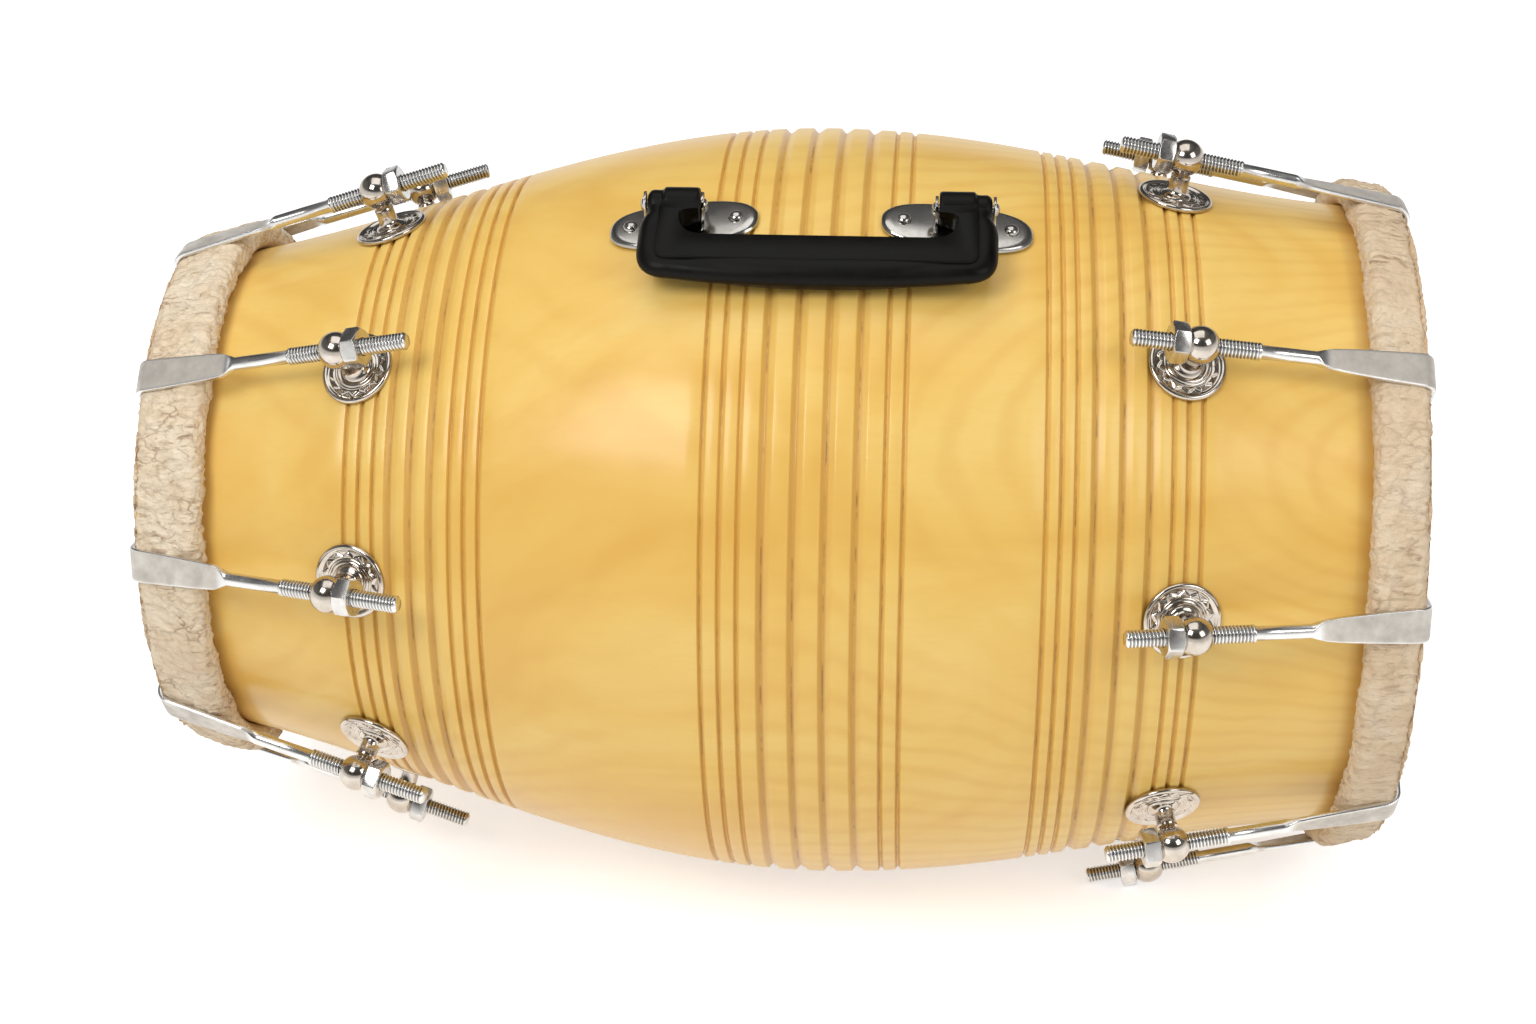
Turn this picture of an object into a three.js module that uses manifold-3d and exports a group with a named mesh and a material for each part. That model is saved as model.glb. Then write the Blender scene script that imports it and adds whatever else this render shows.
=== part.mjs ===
// Dholak: a two-headed barrel drum with tuning hooks and a case handle.
// Millimetres, +Z up. The barrel's axis lies along X, the small treble head at -X, the large bass head at +X.
// The drum lies as it rests on a table, on its belly.
// Everything that repeats at a head is built in a station frame: X out along the drum's axis towards that
// head, Z outwards from the axis, Y round the drum. Reaches are measured along X from the belly's middle.

import * as THREE from 'three';
import { mergeVertices } from 'three/addons/utils/BufferGeometryUtils.js';
import Module from 'manifold-3d';

const wasm = await Module();
wasm.setup();

// Driving dimensions

const bellyRadius = 145.7; // outside, at the middle of the barrel
const rows = 9; // tuning hooks to each head
const facets = 3 * rows; // sides of everything turned about the drum's axis
const runningGap = 0.3; // between pieces that touch on the real drum
const cutOverrun = 5; // how far a cutter runs past what it cuts

// The two heads. The barrel falls from the belly in an S, and would run level again at the flare reach.
const treble = {
  name: 'treble',
  turn: Math.PI, // the station frame is turned about Z to face this head
  shellReach: 244,
  edgeRadius: 91.2,
  flareReach: 300,
  wall: 11,
  rollLength: 29,
  rollOverhang: 4.5, // how far the skin roll stands out past the shell's edge
  rollHeight: 13.2, // roll's outside over the shell's edge, at the middle of its length
  postInset: 78.3, // from the shell's edge back to the post's foot
  strapLead: 9.5, // from the roll back to where the rod begins to flatten
  threadLead: 19, // thread on the head's side of the post's ball
  threadTail: 17.5, // thread past the nut
};
const bass = {
  name: 'bass',
  turn: 0,
  shellReach: 209,
  edgeRadius: 118.4,
  flareReach: 230,
  wall: 25,
  rollLength: 20,
  rollOverhang: 4,
  rollHeight: 10.7,
  postInset: 79.7,
  strapLead: 17,
  threadLead: 21,
  threadTail: 13.5,
};

// Turned bands. Each is a row of narrow grooves, then wide valleys, then narrow grooves again. The join is
// the step from the last groove to the first valley.
const bands = [
  { centre: -142.6, counts: [3, 3, 3], groovePitch: 5.5, join: 6.7, valleyPitch: 8 },
  { centre: -2.2, counts: [3, 4, 2], groovePitch: 6.4, join: 8.9, valleyPitch: 10.8 },
  { centre: 108.1, counts: [3, 3, 3], groovePitch: 5.1, join: 7.2, valleyPitch: 9.6 },
];
const valleyWidth = 4.8;
const valleyDepth = 1.9;
const grooveWidth = 2.4;
const grooveDepth = 1.4;

// Skin and hoop
const skinThickness = 1.2;
const skinGap = 0.8; // between the roll and the shell it slips over
const rollToe = 4; // radius of the roll's outer corner, which the hook bends round
const rollHeel = 5; // radius of the roll's corner towards the belly
const rollLipRise = 4; // how far the roll's inside leans outwards between the membrane and its end
const edgeBevel = 1.5; // on the shell's bearing edge
const pasteRadius = 62; // of the tuning paste inside the bass skin
const pasteThickness = 3;

// Tuning post
const ballRadius = 6.75;
const postHeight = 16.5; // foot to ball centre
const spotFace = 4.7; // from the ball's centre to the flat the nut bears on
const rosetteRadius = 13.9;
const rosetteThickness = 1;
const rosetteCrown = 0.9; // how far the rosette rises to the foot of the stem
const studRadius = 3;
const studShare = 0.8; // of the wall, how deep the stud is screwed in
const postSides = 8;

// Tuning hook: a threaded rod, flattened to a strap that hooks over the skin roll
const threadRadius = 3.175;
const rodRadius = 2.5;
const strapWidth = 12.4;
const strapThickness = 2.1;
const strapTaper = 13;
const hookLip = 12;
const rodSides = 6;

// Tuning nut
const nutAcrossFlats = 12.8;
const nutThickness = 6;

// Handle
const handleAngle = THREE.MathUtils.degToRad(20); // from straight up towards the player
const bracketSpacing = 97.5;
const plateLength = 54;
const plateWidth = 23;
const plateThickness = 1.3;
const screwSpacing = 38.5;
const screwHeadRadius = 2.7;
const screwHeadHeight = 1.9;
const earOffset = 2.8; // the ears stand further out than the middle of the plate
const earThickness = 1.1;
const earFootWidth = 12;
const earHeadRadius = 3.2;
const pivotHeight = 9.2; // over the barrel at the bass bracket
const pinRadius = 1.5;
const pinHeadRadius = 2.4;
const pinHeadLength = 1.3;

// Grip, drawn flat: X along the drum, Y from the pivot out to the bar
const bossWidth = 18.7;
const bossRadius = 6.2;
const armThickness = 8;
const armOutset = 11.5; // from the boss's middle to the grip's outer side
const armInset = 2.8; // from the boss's middle to the side of the finger gap
const shoulderReach = 7.5; // from the pivot to where the arm widens past the ears
const shoulderRise = 5; // over how much of the arm it widens
const gapReach = 19; // from the pivot to the bar's inner edge
const gapCorner = 9;
const barReach = 38; // from the pivot to the bar's outer edge at the middle
const barDroop = 3; // how much less the bar reaches at its ends
const barCorner = 9;
const bodyRadius = 6.6; // the rounded bar that the hand closes on
const bodyShortfall = 9; // from the grip's outer side to the end of that bar

// Where the pieces of a station lie

const fullTurn = 2 * Math.PI;
const rowAngle = fullTurn / rows;

// How far the barrel would fall from the belly by the flare reach
function fullFall(end) {
  const edgeShare = Math.sin((Math.PI / 2) * (end.shellReach / end.flareReach)) ** 2;
  return (bellyRadius - end.edgeRadius) / edgeShare;
}

function surfaceRadius(end, reach) {
  return bellyRadius - fullFall(end) * Math.sin((Math.PI / 2) * (reach / end.flareReach)) ** 2;
}

function surfaceLean(end, reach) {
  const steepest = (Math.PI / 2) * (fullFall(end) / end.flareReach);
  return Math.atan(steepest * Math.sin(Math.PI * (reach / end.flareReach)));
}

function wallAt(x) {
  const share = (x + treble.shellReach) / (treble.shellReach + bass.shellReach);
  return treble.wall + (bass.wall - treble.wall) * share;
}

function studLength(end) {
  const x = end.lay.footReach * Math.cos(end.turn);
  return wallAt(x) * studShare;
}

// The post stands square to the barrel. The rod runs straight from the post's ball to the roll, so the
// roll's outside is coned at the rod's own slope, and the strap lies flat on it.
function layOut(end) {
  const footReach = end.shellReach - end.postInset;
  const lean = surfaceLean(end, footReach);
  const footRadius = surfaceRadius(end, footReach);
  const ball = {
    reach: footReach + postHeight * Math.sin(lean),
    radius: footRadius + postHeight * Math.cos(lean),
  };
  const rollEnd = end.shellReach + end.rollOverhang;
  const rollStart = rollEnd - end.rollLength;
  const middle = { reach: (rollStart + rollEnd) / 2, radius: end.edgeRadius + end.rollHeight };
  const along = middle.reach - ball.reach;
  const down = ball.radius - middle.radius;
  const seat = runningGap + strapThickness / 2;
  const slope = Math.atan2(down, along) - Math.asin(seat / Math.hypot(along, down));

  // the point at a given reach and a given depth below the rod's line, and how far along the rod it lies
  const below = (reach, depth) => {
    const run = (reach - ball.reach + depth * Math.sin(slope)) / Math.cos(slope);
    return { run, reach, radius: ball.radius - run * Math.sin(slope) - depth * Math.cos(slope) };
  };
  const toe = below(rollEnd - rollToe, seat + rollToe);
  const heel = below(rollStart + rollHeel, seat + rollHeel);
  return { footReach, footRadius, lean, ball, rollStart, rollEnd, slope, toe, heel };
}

treble.lay = layOut(treble);
bass.lay = layOut(bass);

// Solids and geometry

const weldDistance = 1e-4;

function toSolid(geometry) {
  const bare = geometry.clone();
  bare.deleteAttribute('normal');
  bare.deleteAttribute('uv');
  const merged = mergeVertices(bare, weldDistance);
  const corners = merged.index.array;
  const kept = [];
  for (let i = 0; i < corners.length; i += 3) {
    const [a, b, c] = [corners[i], corners[i + 1], corners[i + 2]];
    if (a !== b && b !== c && c !== a) {
      kept.push(a, b, c);
    }
  }
  const vertProperties = new Float32Array(merged.attributes.position.array);
  return new wasm.Manifold(new wasm.Mesh({ numProp: 3, vertProperties, triVerts: new Uint32Array(kept) }));
}

function toGeometry(solid) {
  const { vertProperties, triVerts } = solid.getMesh();
  const indexed = new THREE.BufferGeometry();
  indexed.setAttribute('position', new THREE.BufferAttribute(new Float32Array(vertProperties), 3));
  indexed.setIndex(new THREE.BufferAttribute(new Uint32Array(triVerts), 1));
  const geometry = indexed.toNonIndexed();
  geometry.computeVertexNormals();
  return geometry;
}

function joined(geometries) {
  return geometries.map(toSolid).reduce((whole, next) => whole.add(next));
}

// The radius at the corners of a round piece with flat sides, from the radius at the middle of a side
function cornerRadius(sideRadius, sides) {
  return sideRadius / Math.cos(Math.PI / sides);
}

// Turns a closed outline of [reach, radius] points about the drum's axis. The middle of a side lies at
// the radius given, and each row of hooks lies on the middle of a side.
function turned(outline) {
  const points = outline.map(([reach, radius]) => new THREE.Vector2(cornerRadius(radius, facets), reach));
  return new THREE.LatheGeometry(points, facets, Math.PI / facets).rotateZ(-Math.PI / 2);
}

// A bar along +X from start to finish
function bar(radius, start, finish, sides = rodSides) {
  const length = finish - start;
  return new THREE.CylinderGeometry(radius, radius, length, sides)
    .rotateZ(-Math.PI / 2)
    .translate(start + length / 2, 0, 0);
}

// A peg along +Z from start to finish
function peg(radius, start, finish, sides) {
  const length = finish - start;
  return new THREE.CylinderGeometry(radius, radius, length, sides)
    .rotateX(Math.PI / 2)
    .translate(0, 0, start + length / 2);
}

function extruded(shape, depth, curveSegments = 1) {
  return new THREE.ExtrudeGeometry(shape, { depth, bevelEnabled: false, curveSegments });
}

// Points of a round corner, from one heading to another
function cornerPoints(centre, radius, from, to, steps) {
  const points = [];
  for (let i = 0; i <= steps; i += 1) {
    const angle = from + ((to - from) * i) / steps;
    points.push([centre.reach + radius * Math.sin(angle), centre.radius + radius * Math.cos(angle)]);
  }
  return points;
}

// Lays a piece built along the rod's line into the station frame
function alongRod(geometry, end) {
  return geometry.rotateY(end.lay.slope).translate(end.lay.ball.reach, 0, end.lay.ball.radius);
}

// Stands a piece built upwards from the barrel's surface on the post's foot
function onFoot(geometry, end) {
  return geometry.rotateY(end.lay.lean).translate(end.lay.footReach, 0, end.lay.footRadius);
}

function stationMatrix(end, row) {
  const round = new THREE.Matrix4().makeRotationX(row * rowAngle);
  return round.multiply(new THREE.Matrix4().makeRotationZ(end.turn));
}

// Shell: one hollowed and turned log, with three turned bands and a hole for each post

function radiusAtX(x) {
  return x < 0 ? surfaceRadius(treble, -x) : surfaceRadius(bass, x);
}

function bandPoints(band) {
  const [groovesBefore, valleys, groovesAfter] = band.counts;
  const cuts = [];
  let at = 0;
  for (let k = 0; k < groovesBefore; k += 1) {
    cuts.push({ at, width: grooveWidth, depth: grooveDepth });
    at += k < groovesBefore - 1 ? band.groovePitch : band.join;
  }
  for (let k = 0; k < valleys; k += 1) {
    cuts.push({ at, width: valleyWidth, depth: valleyDepth });
    at += k < valleys - 1 ? band.valleyPitch : band.join;
  }
  for (let k = 0; k < groovesAfter; k += 1) {
    cuts.push({ at, width: grooveWidth, depth: grooveDepth });
    at += band.groovePitch;
  }
  const start = band.centre - cuts[cuts.length - 1].at / 2;
  return cuts.flatMap((cut) => {
    const x = start + cut.at;
    const half = cut.width / 2;
    return [
      [x - half, radiusAtX(x - half)],
      [x, radiusAtX(x) - cut.depth],
      [x + half, radiusAtX(x + half)],
    ];
  });
}

// Evenly spaced points of the plain barrel strictly between two places
function plainPoints(from, to, steps) {
  const points = [];
  for (let i = 1; i < steps; i += 1) {
    const x = from + ((to - from) * i) / steps;
    points.push([x, radiusAtX(x)]);
  }
  return points;
}

function shellSolid() {
  const plainSteps = 3;
  const trebleEnd = -treble.shellReach;
  const bassEnd = bass.shellReach;
  const outside = [[trebleEnd + edgeBevel, radiusAtX(trebleEnd + edgeBevel)]];
  for (const points of bands.map(bandPoints)) {
    const from = outside[outside.length - 1][0];
    outside.push(...plainPoints(from, points[0][0], plainSteps), ...points);
  }
  const lastCut = outside[outside.length - 1][0];
  outside.push(...plainPoints(lastCut, bassEnd - edgeBevel, plainSteps));
  outside.push([bassEnd - edgeBevel, radiusAtX(bassEnd - edgeBevel)]);

  const boreSteps = 4;
  const bore = [];
  for (let i = 0; i <= boreSteps; i += 1) {
    const x = bassEnd - ((bassEnd - trebleEnd) * i) / boreSteps;
    bore.push([x, radiusAtX(x) - wallAt(x)]);
  }
  const outline = [
    [trebleEnd, treble.edgeRadius - edgeBevel],
    ...outside,
    [bassEnd, bass.edgeRadius - edgeBevel],
    ...bore,
  ];
  outline.push(outline[0]);
  let shell = toSolid(turned(outline));
  const holeSides = 6;
  for (const end of [treble, bass]) {
    const holeRadius = cornerRadius(studRadius + runningGap, holeSides);
    const deepest = -studLength(end) - runningGap;
    for (let row = 0; row < rows; row += 1) {
      const hole = onFoot(peg(holeRadius, deepest, cutOverrun, holeSides), end);
      shell = shell.subtract(toSolid(hole.applyMatrix4(stationMatrix(end, row))));
    }
  }
  return shell;
}

// Head: the skin stretched over the shell's edge and lapped round its hoop into a thick roll. The hoop
// lies inside the roll, wrapped all round, and the two are one piece.

function headGeometry(end) {
  const { rollStart, rollEnd, slope, toe, heel } = end.lay;
  const inside = end.shellReach + runningGap;
  const outside = inside + skinThickness;
  const lipRadius = end.edgeRadius + edgeBevel;
  const quarter = Math.PI / 2;
  const over = (reach) => [reach, surfaceRadius(end, reach) + skinGap];
  const centre = end === bass
    ? [[inside - pasteThickness, 0], [inside - pasteThickness, pasteRadius], [inside, pasteRadius]]
    : [[inside, 0]];
  return turned([
    ...centre,
    [inside, end.edgeRadius - edgeBevel],
    over(end.shellReach - edgeBevel),
    over((rollStart + end.shellReach) / 2),
    over(rollStart + rollHeel / 2),
    [rollStart, surfaceRadius(end, rollStart) + skinGap + rollHeel / 2],
    ...cornerPoints(heel, rollHeel, -quarter, slope, 3),
    ...cornerPoints(toe, rollToe, slope, quarter, 3),
    [rollEnd, lipRadius + rollLipRise],
    [outside, lipRadius],
    [outside, 0],
  ]);
}

// Tuning post: a ball on a stem, its rosette against the shell and its stud screwed into the wall. The ball
// has a cross hole for the hook's rod and a flat for the nut.

function postGeometry(end) {
  const rings = 5;
  const outline = [[0, postHeight + ballRadius]];
  for (let i = 1; i < rings; i += 1) {
    const angle = (Math.PI * i) / rings;
    outline.push([ballRadius * Math.sin(angle), postHeight + ballRadius * Math.cos(angle)]);
  }
  const stemRadius = outline[rings - 1][0];
  outline.push(
    [stemRadius, runningGap + rosetteThickness + rosetteCrown],
    [rosetteRadius, runningGap + rosetteThickness],
    [rosetteRadius, runningGap],
    [studRadius, runningGap],
    [studRadius, -studLength(end)],
    [0, -studLength(end)],
  );
  const points = outline.map(([x, y]) => new THREE.Vector2(x, y)).reverse();
  const post = new THREE.LatheGeometry(points, postSides).rotateX(Math.PI / 2);
  const boreRadius = cornerRadius(threadRadius + runningGap, rodSides);
  const cuts = [
    bar(boreRadius, -ballRadius - cutOverrun, ballRadius + cutOverrun),
    new THREE.BoxGeometry(ballRadius, 2 * ballRadius, 2 * ballRadius)
      .translate(-spotFace - ballRadius / 2, 0, 0),
  ];
  const rodTurn = end.lay.slope - end.lay.lean;
  const cutter = joined(cuts.map((cut) => cut.rotateY(rodTurn).translate(0, 0, postHeight)));
  return onFoot(toGeometry(toSolid(post).subtract(cutter)), end);
}

// Tuning hook: the rod's two diameters, and a strap drawn from the side and trimmed from above

function hookGeometry(end) {
  const { slope, toe, heel } = end.lay;
  const halfStrap = strapThickness / 2;
  const halfWidth = strapWidth / 2;
  const tip = -spotFace - runningGap - nutThickness - end.threadTail;
  const flatStart = heel.run - rollHeel - end.strapLead;
  const flatFull = flatStart + strapTaper;
  const bendInside = rollToe + runningGap;
  const bendOutside = bendInside + strapThickness;
  const bendTurn = Math.PI / 2 - slope;

  const centre = { reach: toe.run, radius: -halfStrap - bendInside };
  const bendSteps = 3;
  const outer = cornerPoints(centre, bendOutside, 0, bendTurn, bendSteps);
  const inner = cornerPoints(centre, bendInside, bendTurn, 0, bendSteps);
  const lipEnd = ([x, y]) => [x + hookLip * Math.cos(bendTurn), y - hookLip * Math.sin(bendTurn)];
  const side = new THREE.Shape([
    [flatStart, halfStrap],
    ...outer,
    lipEnd(outer[outer.length - 1]),
    lipEnd(inner[0]),
    ...inner,
    [flatStart, -halfStrap],
  ].map(([x, y]) => new THREE.Vector2(x, y)));
  const strap = extruded(side, strapWidth).rotateX(Math.PI / 2).translate(0, halfWidth, 0);

  const reachOver = toe.run + bendOutside + hookLip;
  const plan = new THREE.Shape();
  plan.moveTo(flatStart, -rodRadius);
  plan.quadraticCurveTo(flatStart + strapTaper / 2, -halfWidth, flatFull, -halfWidth);
  plan.lineTo(reachOver, -halfWidth - cutOverrun);
  plan.lineTo(reachOver, halfWidth + cutOverrun);
  plan.lineTo(flatFull, halfWidth);
  plan.quadraticCurveTo(flatStart + strapTaper / 2, halfWidth, flatStart, rodRadius);
  const trimHeight = 2 * (bendOutside + hookLip);
  const trim = extruded(plan, trimHeight, 2).translate(0, 0, -trimHeight / 2);

  const rods = joined([
    bar(rodRadius, end.threadLead - weldDistance, flatStart + halfStrap),
    bar(threadRadius, tip, end.threadLead),
  ]);
  return alongRod(toGeometry(toSolid(strap).intersect(toSolid(trim)).add(rods)), end);
}

// Tuning nut: hexagonal, on the belly side of the post

function nutGeometry(end) {
  const start = -spotFace - runningGap - nutThickness;
  const hexagon = bar(cornerRadius(nutAcrossFlats / 2, 6), start, start + nutThickness, 6);
  const bore = bar(cornerRadius(threadRadius + runningGap, rodSides), start - cutOverrun, cutOverrun);
  return alongRod(toGeometry(toSolid(hexagon).subtract(toSolid(bore))), end);
}

// Handle brackets: an oval plate screwed to the barrel, two upright ears and the pin the grip swings on.
// The handle lies on an edge between two sides of the shell.

const seatedRadius = (end, reach) => cornerRadius(surfaceRadius(end, reach), facets);
const plateReach = bracketSpacing / 2;
const pivotReach = plateReach + earOffset;
const pivotRadius = seatedRadius(bass, pivotReach) + pivotHeight;
const earGap = bossWidth + 2 * runningGap;

// A low dome on a short foot, closed below
function screwGeometry(radius, height, foot) {
  const rise = new THREE.Vector2(radius, height);
  const profile = [[0, -foot], [1, -foot], [1, 0], [Math.SQRT1_2, Math.SQRT1_2], [0, 1]];
  const points = profile.map(([across, up]) => new THREE.Vector2(across * rise.x, up < 0 ? up : up * rise.y));
  return new THREE.LatheGeometry(points, 8).rotateX(Math.PI / 2);
}

// The radius at which the middle of the plate's thickness lies
function plateRadius(end, reach) {
  const lean = surfaceLean(end, plateReach);
  const middle = (runningGap + plateThickness / 2) / Math.cos(lean);
  return seatedRadius(end, plateReach) + middle - (reach - plateReach) * Math.tan(lean);
}

function earGeometry(end, reach) {
  const rise = pivotRadius - plateRadius(end, reach);
  const ear = new THREE.Shape();
  ear.moveTo(-earFootWidth / 2, -rise);
  ear.lineTo(earFootWidth / 2, -rise);
  ear.lineTo(earHeadRadius, 0);
  ear.absarc(0, 0, earHeadRadius, 0, Math.PI, false);
  ear.lineTo(-earFootWidth / 2, -rise);
  return extruded(ear, earThickness, 4).rotateX(Math.PI / 2).rotateZ(Math.PI / 2)
    .translate(reach - earThickness / 2, 0, pivotRadius);
}

function bracketSolid(end) {
  const lean = surfaceLean(end, plateReach);
  const seat = seatedRadius(end, plateReach);
  const onBarrel = (geometry) => geometry.rotateY(lean).translate(plateReach, 0, seat);
  const oval = new THREE.Shape();
  oval.absellipse(0, 0, plateLength / 2, plateWidth / 2, 0, fullTurn, false, 0);
  const pinHalf = earGap / 2 + earThickness + pinHeadLength;
  const pieces = [
    onBarrel(extruded(oval, plateThickness, 16).translate(0, 0, runningGap)),
    bar(pinRadius, pivotReach - pinHalf, pivotReach + pinHalf).translate(0, 0, pivotRadius),
  ];
  for (const side of [-1, 1]) {
    const screw = screwGeometry(screwHeadRadius, screwHeadHeight, plateThickness / 2);
    pieces.push(onBarrel(screw.translate(side * screwSpacing / 2, 0, runningGap + plateThickness)));
    pieces.push(earGeometry(end, pivotReach + side * (earGap / 2 + earThickness / 2)));
    const headMiddle = pivotReach + side * (pinHalf - pinHeadLength / 2);
    pieces.push(bar(pinHeadRadius, headMiddle - pinHeadLength / 2, headMiddle + pinHeadLength / 2)
      .translate(0, 0, pivotRadius));
  }
  return joined(pieces);
}

// Grip: two bosses on the pins, two arms and a rounded bar, round a finger gap

const gripHalfLength = pivotReach + armOutset;
const bodyAt = barReach - bodyRadius;

function gripShape() {
  const bossOut = pivotReach + bossWidth / 2;
  const bossIn = pivotReach - bossWidth / 2;
  const gapHalf = pivotReach - armInset;
  const endReach = barReach - barDroop;
  const half = new THREE.Path();
  half.moveTo(0, barReach);
  half.quadraticCurveTo(gripHalfLength / 2, barReach, gripHalfLength - barCorner, endReach);
  half.quadraticCurveTo(gripHalfLength, endReach, gripHalfLength, endReach - barCorner);
  half.lineTo(gripHalfLength, shoulderReach + shoulderRise);
  half.lineTo(bossOut, shoulderReach);
  half.lineTo(bossOut, -bossRadius / 2);
  half.lineTo(bossIn, -bossRadius / 2);
  half.lineTo(bossIn, bossRadius);
  half.quadraticCurveTo(gapHalf, bossRadius, gapHalf, gapReach / 2);
  half.quadraticCurveTo(gapHalf, gapReach, gapHalf - gapCorner, gapReach);
  half.lineTo(0, gapReach);
  const right = half.getPoints(3);
  const left = right.slice(1, -1).map((point) => new THREE.Vector2(-point.x, point.y)).reverse();
  return new THREE.Shape([...right, ...left]);
}

function gripSolid() {
  const bodyHalf = gripHalfLength - bodyShortfall;
  const pieces = [
    extruded(gripShape(), armThickness).translate(0, 0, -armThickness / 2),
    new THREE.CapsuleGeometry(bodyRadius, 2 * (bodyHalf - bodyRadius), 2, 10).rotateZ(Math.PI / 2)
      .translate(0, bodyAt, 0),
  ];
  for (const side of [-1, 1]) {
    const middle = side * pivotReach;
    pieces.push(bar(bossRadius, middle - bossWidth / 2, middle + bossWidth / 2, 10));
  }
  const holeRadius = cornerRadius(pinRadius + runningGap, rodSides);
  const holeEnd = gripHalfLength + cutOverrun;
  return joined(pieces).subtract(toSolid(bar(holeRadius, -holeEnd, holeEnd)));
}

// How far past square to the barrel's radius the grip swings before its bar lies on the belly
function foldedLean() {
  const bodyCentre = cornerRadius(bellyRadius, facets) + runningGap + bodyRadius;
  return Math.asin((pivotRadius ** 2 + bodyAt ** 2 - bodyCentre ** 2) / (2 * pivotRadius * bodyAt));
}

// Assembly

function finish(color, roughness, metalness) {
  return new THREE.MeshStandardMaterial({ color, roughness, metalness });
}

const lacqueredWood = () => finish(0xe8bf62, 0.28, 0);
const rawhide = () => finish(0xddc39b, 0.75, 0);
const zincSteel = () => finish(0xb9b6b0, 0.32, 1);
const nickel = () => finish(0xa89a8c, 0.16, 1);
const brightSteel = () => finish(0xc4c4c2, 0.25, 1);
const blackPlastic = () => finish(0x15130f, 0.42, 0);

function named(name, geometry, material) {
  const mesh = new THREE.Mesh(geometry, material);
  mesh.name = name;
  return mesh;
}

// Everything that sits at one head, in the station frame of that head
function headGroup(end) {
  const post = postGeometry(end);
  const hook = hookGeometry(end);
  const nut = nutGeometry(end);
  const group = new THREE.Group();
  group.rotation.z = end.turn;
  group.add(named(`${end.name}_head`, toGeometry(toSolid(headGeometry(end))), rawhide()));
  for (let row = 0; row < rows; row += 1) {
    const station = new THREE.Group();
    station.rotation.x = row * rowAngle * Math.cos(end.turn);
    station.add(named(`${end.name}_post_${row + 1}`, post, nickel()));
    station.add(named(`${end.name}_hook_${row + 1}`, hook, zincSteel()));
    station.add(named(`${end.name}_nut_${row + 1}`, nut, brightSteel()));
    group.add(station);
  }
  return group;
}

function handleGroup() {
  const handle = new THREE.Group();
  handle.rotation.x = handleAngle;
  for (const end of [treble, bass]) {
    const bracket = named(`${end.name}_handle_bracket`, toGeometry(bracketSolid(end)), brightSteel());
    bracket.rotation.z = end.turn;
    handle.add(bracket);
  }
  const grip = named('handle_grip', toGeometry(gripSolid()), blackPlastic());
  grip.position.z = pivotRadius;
  grip.rotation.x = Math.PI + foldedLean();
  handle.add(grip);
  return handle;
}

const dholak = new THREE.Group();
dholak.name = 'dholak';
dholak.add(named('shell', toGeometry(shellSolid()), lacqueredWood()));
dholak.add(headGroup(treble), headGroup(bass), handleGroup());

// The hooks' outer faces bound the drum's length. Its middle goes over the origin, and its lowest edge,
// under the belly, on z = 0.
const hookOutside = (end) => end.lay.rollEnd + runningGap + strapThickness;
dholak.position.x = (hookOutside(treble) - hookOutside(bass)) / 2;
dholak.position.z = cornerRadius(bellyRadius, facets);

export default dholak;
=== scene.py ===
from math import asin, atan2, ceil, copysign, cos, dist, exp, hypot, pi, radians, sin, tan, tau
from types import SimpleNamespace as Named

import bpy
from mathutils import Matrix, Vector, noise


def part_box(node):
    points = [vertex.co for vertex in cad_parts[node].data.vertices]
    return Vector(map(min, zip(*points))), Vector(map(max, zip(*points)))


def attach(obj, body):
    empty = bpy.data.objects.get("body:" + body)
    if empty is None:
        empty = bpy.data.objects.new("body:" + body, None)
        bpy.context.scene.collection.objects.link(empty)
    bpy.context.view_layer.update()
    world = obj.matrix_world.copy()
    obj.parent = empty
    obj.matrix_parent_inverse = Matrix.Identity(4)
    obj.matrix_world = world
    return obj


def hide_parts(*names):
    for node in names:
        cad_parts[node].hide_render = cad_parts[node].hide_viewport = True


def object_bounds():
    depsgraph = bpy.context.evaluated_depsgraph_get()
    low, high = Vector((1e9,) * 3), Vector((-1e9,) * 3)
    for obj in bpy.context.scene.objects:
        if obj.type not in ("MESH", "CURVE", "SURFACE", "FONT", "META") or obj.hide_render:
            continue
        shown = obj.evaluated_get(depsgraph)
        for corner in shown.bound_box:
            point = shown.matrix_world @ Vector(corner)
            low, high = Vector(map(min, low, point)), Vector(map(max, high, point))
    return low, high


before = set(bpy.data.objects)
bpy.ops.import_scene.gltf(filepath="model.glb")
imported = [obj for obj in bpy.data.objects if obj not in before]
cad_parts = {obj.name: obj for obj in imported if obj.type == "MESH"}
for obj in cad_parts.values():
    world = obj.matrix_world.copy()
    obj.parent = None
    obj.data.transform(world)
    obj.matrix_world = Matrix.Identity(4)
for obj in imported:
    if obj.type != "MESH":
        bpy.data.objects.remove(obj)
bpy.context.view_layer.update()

# Shell: one log of light wood, hollowed out and turned on a lathe, with three bands of grooves and valleys
# cut round it. It is stained golden yellow under a clear gloss lacquer. The cuts are darker, partly stain
# that gathers in them and partly painted shade on their left walls, and the wood has painted shade by the rolls.

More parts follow.
